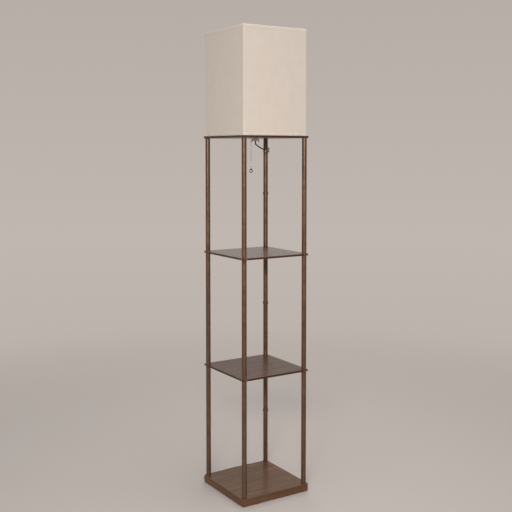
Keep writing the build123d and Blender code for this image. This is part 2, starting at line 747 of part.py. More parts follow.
# ---- all nodes ----------------------------------------------------------------------
def all_nodes():
    nodes = {
        "base_board": base_board(),
        "base_weight": base_weight(),
        "base_felt": base_felt(),
        "base_bolts": base_bolts(),
        "shelf_lower": shelf(Z_LOWER),
        "shelf_upper": shelf(Z_UPPER),
        "top_board": top_board(),
        "post_plugs": post_plugs(),
        "shelf_studs": shelf_studs(),
        "top_bolts": top_bolts(),
        "shade_locators": shade_locators(),
        "locator_screws": locator_screws(),
        "socket_nipple": socket_nipple(),
        "nipple_washer": nipple_washer(),
        "nipple_lock_nut": nipple_lock_nut(),
        "wing_nut": wing_nut(),
        "cord_bushing": cord_bushing(),
        "chain_eyelet": chain_eyelet(),
        "socket_cap": socket_cap(),
        "socket_shell": socket_shell(),
        "socket_insulator": socket_insulator(),
        "socket_body": socket_body(),
        "lever_pin": lever_pin(),
        "chain_bell": chain_bell(),
        "screw_shell": screw_shell(),
        "centre_contact": centre_contact(),
        "switch_lever": switch_lever(),
        "bulb_base": bulb_base(),
        "bulb_insulator": bulb_insulator(),
        "bulb_contact": bulb_contact(),
        "bulb_glass": bulb_glass(),
        "pull_chain_upper": pull_chain_upper(),
        "pull_chain_lower": pull_chain_lower(),
        "pull_knob": pull_knob(),
        "shade_fabric": shade_fabric(),
        "shade_liner": shade_liner(),
        "shade_hems": shade_hems(),
        "shade_wires": shade_wires(),
        "shade_uprights": shade_uprights(),
        "cord_lead": cord_lead(),
        "cord_hank": cord_hank(),
        "cord_tail": cord_tail(),
        "hank_ties": hank_ties(),
        "plug_body": plug_body(),
        "plug_blades": plug_blades(),
        "post_tie": post_tie(),
        "cord_clips": cord_clips(),
    }
    for bay in BAYS:
        for corner in CORNERS:
            nodes[f"post_{bay}_{corner}"] = post(corner, bay)
    return nodes


os.makedirs("parts", exist_ok=True)
for name, shape in all_nodes().items():
    export_step(shape, f"parts/{name}.step")
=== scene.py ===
import math

import bpy
from mathutils import Matrix, Vector, noise


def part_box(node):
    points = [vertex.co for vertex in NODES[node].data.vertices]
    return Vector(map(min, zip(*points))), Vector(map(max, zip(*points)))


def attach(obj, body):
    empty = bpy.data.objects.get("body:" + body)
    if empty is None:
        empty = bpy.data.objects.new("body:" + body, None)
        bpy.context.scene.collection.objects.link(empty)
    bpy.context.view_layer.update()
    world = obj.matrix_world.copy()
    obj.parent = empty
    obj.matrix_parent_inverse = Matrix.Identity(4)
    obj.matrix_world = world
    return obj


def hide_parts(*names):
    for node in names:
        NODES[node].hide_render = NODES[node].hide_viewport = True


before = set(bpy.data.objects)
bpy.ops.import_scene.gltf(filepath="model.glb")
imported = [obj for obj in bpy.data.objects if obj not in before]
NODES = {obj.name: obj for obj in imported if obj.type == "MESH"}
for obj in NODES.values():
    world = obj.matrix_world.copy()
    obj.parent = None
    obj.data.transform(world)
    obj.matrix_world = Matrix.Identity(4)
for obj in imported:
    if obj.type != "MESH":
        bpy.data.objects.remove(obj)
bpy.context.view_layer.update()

MM = 0.001

# ---- sizes, from the frame where it has them ----------------------------------------
base_low, base_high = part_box("base_board")
board_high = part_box("top_board")[1]
post_low, post_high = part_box("post_upper_back")
skin_low, skin_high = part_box("shade_fabric")
liner_low, liner_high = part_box("shade_liner")
hem_low, hem_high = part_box("shade_hems")
POST_AT = (post_low.x + post_high.x) / 2
POST_RADIUS = (post_high.x - post_low.x) / 2
BASE_EDGE = base_high.y
CLOTH = hem_high.x - skin_high.x      # one thickness of the linen
LINER = 0.6 * MM                      # thickness of the stiff backing
HEM = 8 * MM                          # height of the linen's turned edges


# ---- camera -------------------------------------------------------------------------
SENSOR_WIDTH = 36.0
FRAME_PIXELS = 512
FOCAL_PIXELS = 850.2
AXIS_ABOVE_CENTRE = 61                # pixels from the frame's middle up to the lens axis
CAMERA_AT = (-1.5615, -2.4541, 1.1668)
CAMERA_HEADING = -32.504
CAMERA_TILT = -2.959


def make_camera():
    """Upright view, shifted down as the photograph's is cropped."""
    lens = bpy.data.cameras.new("camera")
    lens.sensor_width = SENSOR_WIDTH
    lens.lens = FOCAL_PIXELS / FRAME_PIXELS * SENSOR_WIDTH
    lens.shift_y = -AXIS_ABOVE_CENTRE / FRAME_PIXELS
    camera = bpy.data.objects.new("camera", lens)
    camera.location = CAMERA_AT
    camera.rotation_euler = (math.radians(90 + CAMERA_TILT), 0, math.radians(CAMERA_HEADING))
    bpy.context.scene.collection.objects.link(camera)
    bpy.context.scene.camera = camera


# ---- helpers for meshes -------------------------------------------------------------
QUARTER_STEPS = 3                     # faces round a strip's rounded corner


def add_piece(obj, body, slot, *replaced):
    """Puts a new piece into the scene, on its body and in place of the solids it stands for."""
    bpy.context.scene.collection.objects.link(obj)
    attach(obj, body)
    if replaced:
        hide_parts(*replaced)
    return obj


def mesh_piece(name, points, faces, crease=35):
    """New mesh, smooth but for edges sharper than the crease angle in degrees."""
    mesh = bpy.data.meshes.new(name)
    mesh.from_pydata([tuple(point) for point in points], [], faces)
    mesh.validate()
    mesh.polygons.foreach_set("use_smooth", [True] * len(mesh.polygons))
    mesh.set_sharp_from_angle(angle=math.radians(crease))
    return bpy.data.objects.new(name, mesh)


def hoop(name, sections, crease=35):
    """Closed band: every section is a ring of points, and the last section meets the first."""
    around = len(sections[0])
    faces = []
    for here in range(len(sections)):
        low, high = here * around, (here + 1) % len(sections) * around
        for side in range(around):
            across = (side + 1) % around
            faces.append((low + side, high + side, high + across, low + across))
    return mesh_piece(name, [point for section in sections for point in section], faces, crease)


def bar(name, sections):
    """Band with two ends, each closed by a flat face."""
    around = len(sections[0])
    faces = [tuple(reversed(range(around)))]
    for here in range(len(sections) - 1):
        low, high = here * around, (here + 1) * around
        for side in range(around):
            across = (side + 1) % around
            faces.append((low + side, low + across, high + across, high + side))
    last = (len(sections) - 1) * around
    faces.append(tuple(range(last, last + around)))
    return mesh_piece(name, [point for section in sections for point in section], faces)


def pill_section(width, thick, rounding):
    """Flat strip's outline as (outward, along) pairs, with rounded edges."""
    corners = []
    for turn, (sx, sy) in enumerate(((1, 1), (-1, 1), (-1, -1), (1, -1))):
        for step in range(QUARTER_STEPS + 1):
            angle = math.pi / 2 * (turn + step / QUARTER_STEPS)
            corners.append((
                sx * (thick / 2 - rounding) + rounding * math.cos(angle),
                sy * (width / 2 - rounding) + rounding * math.sin(angle),
            ))
    return corners


# ---- cord ---------------------------------------------------------------------------
CORD_RADIUS = 2.25 * MM
DOWN_POST = (0.1240, 0.1331)          # where it hangs behind the back post
LEAD_ROUTE = [
    (0.0, 0.0, 1.2013),               # down out of the bushing
    (0.0, 0.0, 1.1946),
    (0.0040, 0.0047, 1.1899),         # across under the board
    (0.0135, 0.0158, 1.1876),
    (0.0930, 0.1069, 1.1766),
    (0.1113, 0.1279, 1.1740),         # round the post into the tie
    (0.1242, 0.1340, 1.1732),
    (*DOWN_POST, 1.1560),
    (*DOWN_POST, 0.1420),
    (*DOWN_POST, 0.0960),
    (0.1260, 0.1365, 0.0500),         # past the base's edge to the floor
    (0.1250, 0.1385, 0.0160),
    (0.1100, 0.1393, 0.00275),
    (0.0880, 0.13925, 0.00295),
]
TAIL_ROUTE = [                        # from the hank to the plug
    (-0.0350, 0.1420, 0.0064),
    (-0.0480, 0.1438, 0.0052),
    (-0.0620, 0.1455, 0.0056),
]
HANK_RIGHT, HANK_LEFT = 0.080, -0.010
FAN = 5.0 * MM                        # the inner turn is shorter, so the ends stand open
HANK_Z = 2.95 * MM
NEAR_ROWS = (6.75 * MM, 11.35 * MM, 9.05 * MM)    # behind the base; the third lies on the first two
FAR_ROWS = (47.5 * MM, 42.9 * MM)
OVER = 4.0 * MM                       # rise of the strand on top, where the tie holds it
OVER_CROSSING = 4.7 * MM              # and where it crosses the others
LEAVING = (-0.012, -0.022)            # last points on top of the hank


def hank_turn(end, side, start_row, end_row, lift=0.0):
    """Six points of the cord round one end of the hank, from one row to another.

    They lie on half an octagon and the runs beside it. The last three are lifted.
    """
    middle, reach = (start_row + end_row) / 2, (end_row - start_row) / 2
    inner = math.tan(math.pi / 8) * reach
    outward = (-abs(inner), abs(inner), abs(reach), abs(reach), abs(inner), -abs(inner))
    across = (-reach, -reach, -inner, inner, reach, reach)
    rises = (0.0, 0.0, 0.0, lift, lift, lift)
    return [
        (end + side * out, BASE_EDGE + middle + over, HANK_Z + rise)
        for out, over, rise in zip(outward, across, rises)
    ]


def hank_points():
    """Two full turns and a last strand that leaves over the top for the plug."""
    points = hank_turn(HANK_LEFT, -1, NEAR_ROWS[0], FAR_ROWS[0])
    points += hank_turn(HANK_RIGHT, 1, FAR_ROWS[0], NEAR_ROWS[1])
    points += hank_turn(HANK_LEFT + FAN, -1, NEAR_ROWS[1], FAR_ROWS[1])
    points += hank_turn(HANK_RIGHT - FAN, 1, FAR_ROWS[1], NEAR_ROWS[2], OVER_CROSSING)
    return points + [(x, BASE_EDGE + NEAR_ROWS[2], HANK_Z + OVER_CROSSING) for x in LEAVING]


def make_cord():
    """The cord as one smooth curve, from the bushing to the plug."""
    route = LEAD_ROUTE + hank_points() + TAIL_ROUTE
    curve = bpy.data.curves.new("cord", "CURVE")
    curve.dimensions = "3D"
    spline = curve.splines.new("NURBS")
    spline.points.add(len(route) - 1)
    for point, place in zip(spline.points, route):
        point.co = (*place, 1.0)
        point.radius = CORD_RADIUS
    spline.order_u = 3
    spline.use_endpoint_u = True
    curve.resolution_u = 10
    curve.bevel_depth = 1.0            # metres times each point's own radius
    curve.bevel_resolution = 6
    curve.use_fill_caps = True
    cord = bpy.data.objects.new("cord", curve)
    return add_piece(cord, "stand", "cord_pvc", "cord_lead", "cord_hank", "cord_tail")


# ---- ties on the cord ---------------------------------------------------------------
TIE_MIDDLE = 1.16575
TIE_HEADING = math.radians(-32.5)     # the tie's head sits on the post's right side
TAIL_BENDS = [(10.3, 0.0, 3.2), (11.6, -0.6, 6.5), (11.4, -2.6, 10.5), (8.0, -6.6, 11.8), (4.2, -10.0, 9.4)]
TAIL_TWIST = math.radians(40)


def belt_path(circles, steps):
    """Points and outward normals of a belt round circles (x, y, radius), listed anticlockwise."""
    leaving = []
    for (ax, ay, ar), (bx, by, br) in zip(circles, circles[1:] + circles[:1]):
        gap = Vector((bx - ax, by - ay))
        leaving.append(math.atan2(gap.y, gap.x) - math.acos((ar - br) / gap.length))
    path = []
    for index, (x, y, radius) in enumerate(circles):
        start, end = leaving[index - 1], leaving[index]
        while end < start:
            end += 2 * math.pi
        for step in range(steps + 1):
            angle = start + (end - start) * step / steps
            normal = Vector((math.cos(angle), math.sin(angle)))
            path.append((Vector((x, y)) + radius * normal, normal))
    return path


def belt(name, circles, put, steps, width, thick, rounding):
    """Flat band round circles; put makes a point of a spot in their plane and a distance along their axis."""
    sections = []
    for place, normal in belt_path(circles, steps):
        ring = []
        for out, along in pill_section(width, thick, rounding):
            ring.append(put(place + (out + thick / 2) * normal, along))
        sections.append(ring)
    return hoop(name, sections)


def post_tie():
    """Cable tie's band round the post and the cord."""
    off_post, off_cord = 0.1 * MM, 1.3 * MM
    circles = [(POST_AT, POST_AT, POST_RADIUS + off_post), (*DOWN_POST, CORD_RADIUS + off_cord)]
    return belt("post_tie_band", circles, lambda spot, along: Vector((spot.x, spot.y, TIE_MIDDLE + along)),
                steps=14, width=7.5 * MM, thick=1.2 * MM, rounding=0.4 * MM)


def hank_tie(name, rows):
    """Soft tie round the strands that lie side by side in the hank."""
    middle = (HANK_RIGHT + HANK_LEFT) / 2
    circles = [(BASE_EDGE + row, z, CORD_RADIUS) for row, z in rows]
    return belt(name, circles, lambda spot, along: Vector((middle + along, spot.x, spot.y)),
                steps=8, width=6.0 * MM, thick=0.6 * MM, rounding=0.25 * MM)


def tie_point(out, along, z):
    """Point beside the back post, out to the right of it and along the tangent there."""
    right = Vector((math.cos(TIE_HEADING), math.sin(TIE_HEADING)))
    ahead = Vector((-right.y, right.x))
    spot = Vector((POST_AT, POST_AT)) + out * right + along * ahead
    return Vector((spot.x, spot.y, z))


def tie_head():
    """The tie's moulded head, a small block with rounded edges; near and far count from the post's axis."""
    height, half, near, far = 8.5 * MM, 3.6 * MM, 8.9 * MM, 12.6 * MM
    corner, soft = 0.8 * MM, 0.7 * MM
    shoulder = soft * 0.3
    low = TIE_MIDDLE - height / 2
    rows = []
    for z, inset in (
        (0, soft), (shoulder, shoulder), (soft, 0),
        (height - soft, 0), (height - shoulder, shoulder), (height, soft),
    ):
        ring = []
        for out, along in pill_section(2 * (half - inset), far - near - 2 * inset, corner):
            ring.append(tie_point((near + far) / 2 + out, along, low + z))
        rows.append(ring)
    return bar("post_tie_head", rows)


def tail_path():
    """Points along the smooth line of the tie's free end, read from its own spline."""
    strap = bpy.data.curves.new("tail_line", "CURVE")
    strap.dimensions = "3D"
    line = strap.splines.new("NURBS")
    line.points.add(len(TAIL_BENDS) - 1)
    for point, (out, along, up) in zip(line.points, TAIL_BENDS):
        point.co = (out * MM, along * MM, up * MM, 1.0)
    line.order_u = 3
    line.use_endpoint_u = True
    strap.resolution_u = 7
    holder = bpy.data.objects.new("tail_line", strap)
    traced = bpy.data.meshes.new_from_object(holder)
    path = [point.co.copy() for point in traced.vertices]
    bpy.data.meshes.remove(traced)
    bpy.data.objects.remove(holder)
    bpy.data.curves.remove(strap)
    return path


def tie_tail():
    """The free end, which rises from the head and curls over towards the front of the post."""
    thick, tooth_depth = 0.55 * MM, 0.12 * MM
    wide_half, slimming, slim_over = 2.6, 0.9, 0.2
    path = tail_path()
    sections = []
    for step, spot in enumerate(path):
        before, after = path[max(step - 1, 0)], path[min(step + 1, len(path) - 1)]
        part = step / (len(path) - 1)
        half = (wide_half - slimming * max(0.0, part - (1 - slim_over)) / slim_over) * MM
        tooth = tooth_depth * (step % 2)
        ahead = (after - before).normalized()
        twist = Matrix.Rotation(TAIL_TWIST * min(1.0, 3 * part), 3, ahead)
        flat = twist @ Vector((0, 1, 0)).cross(ahead).normalized()
        wide = ahead.cross(flat)
        ring = []
        for across, along in ((-thick, -half), (thick + tooth, -half), (thick + tooth, half), (-thick, half)):
            place = spot + across * flat + along * wide
            ring.append(tie_point(place.x, place.y, TIE_MIDDLE + place.z))
        sections.append(ring)
    return bar("post_tie_tail", sections)


def make_ties():
    """The cable tie on the post and the two soft ties round the hank."""
    band = add_piece(post_tie(), "stand", "tie_nylon", "post_tie")
    head = add_piece(tie_head(), "stand", "tie_nylon")
    tail = add_piece(tie_tail(), "stand", "tie_nylon")
    near = [(NEAR_ROWS[0], HANK_Z), (NEAR_ROWS[1], HANK_Z), (NEAR_ROWS[2], HANK_Z + OVER)]
    far = [(FAR_ROWS[1], HANK_Z), (FAR_ROWS[0], HANK_Z)]
    ties = [
        add_piece(hank_tie("hank_tie_near", near), "stand", "tie_nylon", "hank_ties"),
        add_piece(hank_tie("hank_tie_far", far), "stand", "tie_nylon"),
    ]
    return [band, head, tail, *ties]


# ---- shade --------------------------------------------------------------------------
SIDE_STEPS = 44
CORNER_STEPS = 6
LINER_CORNER, LINEN_CORNER, HEM_CORNER = 2.2 * MM, 2.6 * MM, 3.0 * MM
EAR, EAR_WIDTH = 1.9 * MM, 3.0 * MM   # the corner wires push the cloth up a little
DIP, DIP_AT, DIP_WIDTH = 1.6 * MM, 13 * MM, 11 * MM    # and it sinks again just beside them
SINK = 0.8 * MM                       # the cloth lies this much lower all round
SLACK = 0.5 * MM                      # and rises and falls by this much between
RIM_SEED, RIPPLE_SEED, SEAM_SEED = 3.1, 7.7, 1.9


def square_path(half, corner):
    """Stations round a square with rounded corners: place, outward normal, distance to the nearest corner."""
    stations = []
    straight = 2 * (half - corner)
    for side in range(4):
        angle = math.pi / 2 * side
        normal = Vector((math.cos(angle), math.sin(angle)))
        ahead = Vector((-normal.y, normal.x))
        for step in range(SIDE_STEPS):
            along = straight * (step / SIDE_STEPS - 0.5)
            stations.append((half * normal + along * ahead, normal, straight / 2 - abs(along)))
        centre = (half - corner) * (normal + ahead)
        for step in range(CORNER_STEPS):
            turn = angle + math.pi / 2 * step / CORNER_STEPS
            out = Vector((math.cos(turn), math.sin(turn)))
            stations.append((centre + corner * out, out, 0.0))
    return stations


def rim_wave(place, away):
    """How far the upper rim is off its line: ears at the corners, dips beside them, slack between."""
    ear = EAR * math.exp(-(away / EAR_WIDTH) ** 2)
    dip = DIP * math.exp(-((away - DIP_AT) / DIP_WIDTH) ** 2)
    slack = SLACK * noise.noise(Vector((place.x * 14, place.y * 14, RIM_SEED)))
    return ear - dip + slack - SINK


def cloth_ripple(place, z):
    """Slight looseness of the linen on its backing, in wide waves with finer ones on them."""
    wide = noise.noise(Vector((place.x * 11, place.y * 11, z * 9)))
    fine = noise.noise(Vector((place.x * 40, place.y * 40, z * 26 + RIPPLE_SEED)))
    return (0.10 + 0.10 * wide + 0.05 * fine) * MM


def shade_wall(name, half, corner, thick, low, high, rows, ripple):
    """One layer of the shade's wall, closed over both rims."""
    sections = []
    for place, normal, away in square_path(half, corner):
        top = high + rim_wave(place, away)
        out, back = [], []
        for row in range(rows + 1):
            z = low + (top - low) * row / rows
            spot = place + normal * (cloth_ripple(place, z) if ripple else 0.0)
            out.append(Vector((spot.x, spot.y, z)))
            spot = spot - thick * normal
            back.append(Vector((spot.x, spot.y, z)))
        sections.append(out + back[::-1])
    return hoop(name, sections, crease=50)


def hem_band(name, rim, upwards):
    """Turned edge of the cloth: a leaf outside the wall and a lip over its rim."""
    sign = 1 if upwards else -1
    lip, fold = 0.3 * MM, 0.02 * MM
    behind = -CLOTH + 0.05 * MM
    inward = CLOTH * 2 + LINER - 0.1 * MM
    sections = []
    for place, normal, away in square_path(hem_high.x, HEM_CORNER):
        edge = rim + (rim_wave(place, away) if upwards else 0.0)
        outside = 0.14 * MM + 0.10 * MM * noise.noise(Vector((place.x * 30, place.y * 30, rim * 50)))
        profile = [
            (behind, -HEM), (outside - 0.1 * MM, -HEM), (outside, -HEM + 0.35 * MM),
            (outside + 0.05 * MM, -HEM / 2), (outside - 0.05 * MM, -0.6 * MM),
            (outside - 0.2 * MM, lip * 0.6), (-0.5 * MM, lip), (-inward, lip),
            (-inward, fold), (behind, fold),
        ]
        ring = []
        for out, up in profile:
            spot = place + out * normal
            ring.append(Vector((spot.x, spot.y, edge + sign * up)))
        sections.append(ring if upwards else ring[::-1])
    return hoop(name, sections, crease=60)


def shade_seam():
    """Lapped joint where the linen's two ends meet, on the back."""
    rows, seam_x, wander, proud = 40, 0.104, 0.4 * MM, 0.2 * MM
    outline = pill_section(9 * MM, 0.3 * MM, 0.12 * MM)
    sections = []
    for row in range(rows + 1):
        z = skin_low.z + HEM + (skin_high.z - skin_low.z - 2 * HEM) * row / rows
        middle = seam_x + wander * noise.noise(Vector((0.3, z * 20, SEAM_SEED)))
        sections.append([Vector((middle + along, skin_high.y + proud + out, z)) for out, along in outline])
    return bar("shade_seam", sections)


def make_shade():
    """Backing, linen, hems and seam; returns them by finish."""
    liner = shade_wall("shade_backing", liner_high.x, LINER_CORNER, LINER, liner_low.z, liner_high.z,
                       rows=6, ripple=False)
    linen = shade_wall("shade_linen", skin_high.x, LINEN_CORNER, CLOTH, skin_low.z, skin_high.z,
                       rows=44, ripple=True)
    top = hem_band("shade_hem_top", hem_high.z, True)
    bottom = hem_band("shade_hem_bottom", hem_low.z, False)
    add_piece(liner, "shade", "shade_styrene", "shade_liner")
    add_piece(linen, "shade", "shade_linen", "shade_fabric")
    add_piece(top, "shade", "shade_hem_linen", "shade_hems")
    add_piece(bottom, "shade", "shade_hem_linen")
    seam = add_piece(shade_seam(), "shade", "shade_linen")
    return {"liner": [liner], "linen": [linen, seam], "hems": [top, bottom]}


# ---- helpers for materials ----------------------------------------------------------
def srgb(red, green, blue):
    """Colour given as 8-bit display values."""
    parts = [value / 255 for value in (red, green, blue)]
    return (*[part / 12.92 if part <= 0.04045 else ((part + 0.055) / 1.055) ** 2.4 for part in parts], 1.0)


def node(tree, kind, values=None, **settings):
    """New shader node; a value is a number, a colour or another node's output."""
    made = tree.nodes.new("ShaderNode" + kind)
    for key, value in settings.items():
        setattr(made, key, value)
    for socket, value in (values or {}).items():
        if isinstance(value, bpy.types.NodeSocket):
            tree.links.new(value, made.inputs[socket])
        else:
            made.inputs[socket].default_value = value
    return made


def maths(tree, operation, first, second=0.0):
    return node(tree, "Math", {0: first, 1: second}, operation=operation).outputs[0]


def plus(tree, first, second):
    return maths(tree, "ADD", first, second)


def minus(tree, first, second):
    return maths(tree, "SUBTRACT", first, second)


def times(tree, first, second):
    return maths(tree, "MULTIPLY", first, second)


def band(tree, value, low, high, to_low=0.0, to_high=1.0):
    """Value taken smoothly from one range to another."""
    ends = {0: value, 1: low, 2: high, 3: to_low, 4: to_high}
    return node(tree, "MapRange", ends, interpolation_type="SMOOTHSTEP").outputs[0]


def tint(tree, part, first, second):
    """Colour between two others."""
    return node(tree, "Mix", {0: part, 6: first, 7: second}, data_type="RGBA").outputs[2]


def stretched(tree, vector, along_x, along_y, along_z):
    """Coordinates scaled by different amounts along the three axes."""
    values = {0: vector, 1: (along_x, along_y, along_z)}
    return node(tree, "VectorMath", values, operation="MULTIPLY").outputs[0]


def noise_of(tree, vector, scale=1.0, detail=2.0, roughness=0.5):
    values = {"Vector": vector, "Scale": scale, "Detail": detail, "Roughness": roughness}
    return node(tree, "TexNoise", values).outputs["Fac"]


def new_group(name, takes, gives):
    """Empty shader group with named sockets, given as {name: (kind, default)} and {name: kind}."""
    tree = bpy.data.node_groups.new(name, "ShaderNodeTree")
    for label, (kind, default) in takes.items():
        socket = tree.interface.new_socket(label, in_out="INPUT", socket_type="NodeSocket" + kind)
        if default is not None:
            socket.default_value = default
    for label, kind in gives.items():
        tree.interface.new_socket(label, in_out="OUTPUT", socket_type="NodeSocket" + kind)
    return tree, tree.nodes.new("NodeGroupInput").outputs, tree.nodes.new("NodeGroupOutput").inputs


def use_group(tree, group, values):
    return node(tree, "Group", values, node_tree=group).outputs


def new_material(name, values):
    """Material with one Principled shader; what is the same all over goes straight on its sockets."""
    made = bpy.data.materials.new(name)
    made.use_nodes = True
    tree = made.node_tree
    shader = tree.nodes["Principled BSDF"]
    for socket, value in values.items():
        shader.inputs[socket].default_value = value
    place = node(tree, "TexCoord").outputs["Object"]
    return made, tree, shader, place


def wire(tree, shader, colour=None, roughness=None, height=None, depth=0.1 * MM, strength=1.0):
    """Joins what changes over the surface to the shader."""
    if colour is not None:
        tree.links.new(colour, shader.inputs["Base Color"])
    if roughness is not None:
        tree.links.new(roughness, shader.inputs["Roughness"])
    if height is not None:
        bump = node(tree, "Bump", {"Strength": strength, "Distance": depth, "Height": height})
        tree.links.new(bump.outputs[0], shader.inputs["Normal"])


# ---- shader groups ------------------------------------------------------------------
def walnut_group():
    """Straight-grained walnut veneer, its grain along X."""
    takes = {
        "Vector": ("Vector", None), "Pores": ("Float", 0.5), "Figure": ("Float", 1.0),
        "Dark": ("Color", srgb(60, 40, 30)), "Light": ("Color", srgb(110, 78, 58)),
    }
    gives = {"Color": "Color", "Grain": "Float", "Height": "Float"}
    tree, given, out = new_group("walnut_veneer", takes, gives)
    place = given["Vector"]
    wander = noise_of(tree, stretched(tree, place, 2.5, 9, 9))
    shift = node(tree, "CombineXYZ", {0: 0.0, 1: times(tree, wander, 0.03), 2: 0.0}).outputs[0]
    bent = node(tree, "VectorMath", {0: place, 1: shift}, operation="ADD").outputs[0]
    bands = noise_of(tree, stretched(tree, bent, 3, 75, 75), detail=3.0, roughness=0.6)
    fibres = noise_of(tree, stretched(tree, bent, 28, 900, 900), detail=3.0, roughness=0.65)
    mottle = noise_of(tree, stretched(tree, place, 26, 40, 40))
    pores = band(tree, noise_of(tree, stretched(tree, bent, 90, 2600, 2600), detail=1.0), 0.60, 0.70)
    figure = band(tree, bands, 0.34, 0.66)
    grain = plus(tree, times(tree, figure, 0.55), times(tree, fibres, 0.35))
    grain = plus(tree, grain, times(tree, minus(tree, mottle, 0.4), 0.35))
    part = plus(tree, 0.5, times(tree, minus(tree, grain, 0.5), given["Figure"]))
    colour = tint(tree, part, given["Dark"], given["Light"])
    dark_pores = times(tree, pores, given["Pores"])
    colour = tint(tree, dark_pores, colour, srgb(34, 22, 16))
    tree.links.new(colour, out["Color"])
    tree.links.new(part, out["Grain"])
    height = minus(tree, times(tree, fibres, 0.5), dark_pores)
    tree.links.new(height, out["Height"])
    return tree


def edge_rub_group():
    """Mask of a square board's edges, broken up as handling rubs them."""
    takes = {
        "Vector": ("Vector", None), "Half side": ("Float", 0.13),
        "Low": ("Float", 0.0), "High": ("Float", 0.01), "Reach": ("Float", 1.5 * MM),
    }
    tree, given, out = new_group("edge_rub", takes, {"Mask": "Float"})
    parts = node(tree, "SeparateXYZ", {0: given["Vector"]}).outputs
    to_x = minus(tree, given["Half side"], maths(tree, "ABSOLUTE", parts["X"]))
    to_y = minus(tree, given["Half side"], maths(tree, "ABSOLUTE", parts["Y"]))
    from_low = minus(tree, parts["Z"], given["Low"])
    from_high = minus(tree, given["High"], parts["Z"])
    to_z = maths(tree, "MINIMUM", from_low, from_high)
    nearer = maths(tree, "MINIMUM", to_x, to_y)
    farther = maths(tree, "MAXIMUM", to_x, to_y)
    second = maths(tree, "MAXIMUM", nearer, maths(tree, "MINIMUM", farther, to_z))
    broken = noise_of(tree, given["Vector"], 260.0, 3.0, 0.6)
    reach = times(tree, given["Reach"], times(tree, broken, 1.6))
    tree.links.new(band(tree, second, 0.0, reach, 1.0, 0.0), out["Mask"])
    return tree


def speckle_group():
    """Soft clouding and fine grit that every hard surface has."""
    takes = {"Vector": ("Vector", None), "Cloud size": ("Float", 0.03), "Grit size": ("Float", 0.0008)}
    tree, given, out = new_group("cloud_and_grit", takes, {"Cloud": "Float", "Grit": "Float"})
    cloud = noise_of(tree, given["Vector"], maths(tree, "DIVIDE", 1.0, given["Cloud size"]), 3.0, 0.55)
    grit = noise_of(tree, given["Vector"], maths(tree, "DIVIDE", 1.0, given["Grit size"]), 2.0, 0.6)
    tree.links.new(cloud, out["Cloud"])
    tree.links.new(grit, out["Grit"])
    return tree


def linen_group():
    """Plain weave on an upright square wall: threads along the wall and up it, with slubs."""
    takes = {"Vector": ("Vector", None), "Pitch": ("Float", 0.75 * MM)}
    tree, given, out = new_group("plain_weave", takes, {"Height": "Float", "Tone": "Float"})
    parts = node(tree, "SeparateXYZ", {0: given["Vector"]}).outputs
    along = plus(tree, parts["X"], parts["Y"])
    wander = noise_of(tree, given["Vector"], 55.0, 2.0)
    wander = times(tree, minus(tree, wander, 0.5), 1.2 * MM)
    rate = maths(tree, "DIVIDE", math.pi, given["Pitch"])
    warp = maths(tree, "SINE", times(tree, plus(tree, along, wander), rate))
    weft = maths(tree, "SINE", times(tree, plus(tree, parts["Z"], wander), rate))
    over = times(tree, warp, weft)
    flat = node(tree, "CombineXYZ", {0: along, 1: parts["Z"], 2: 0.0}).outputs[0]
    slub_up = noise_of(tree, stretched(tree, flat, 1500, 45, 1), roughness=0.6)
    slub_along = noise_of(tree, stretched(tree, flat, 38, 1400, 1), roughness=0.6)
    thick = maths(tree, "MAXIMUM", band(tree, slub_up, 0.60, 0.74), band(tree, slub_along, 0.60, 0.74))
    height = plus(tree, times(tree, maths(tree, "ABSOLUTE", over), 0.7), times(tree, thick, 0.8))
    tree.links.new(height, out["Height"])
    cloud = noise_of(tree, stretched(tree, flat, 30, 22, 1), detail=3.0, roughness=0.6)
    tone = plus(tree, times(tree, minus(tree, cloud, 0.5), 0.55), times(tree, thick, 0.35))
    tree.links.new(plus(tree, 0.45, tone), out["Tone"])
    return tree


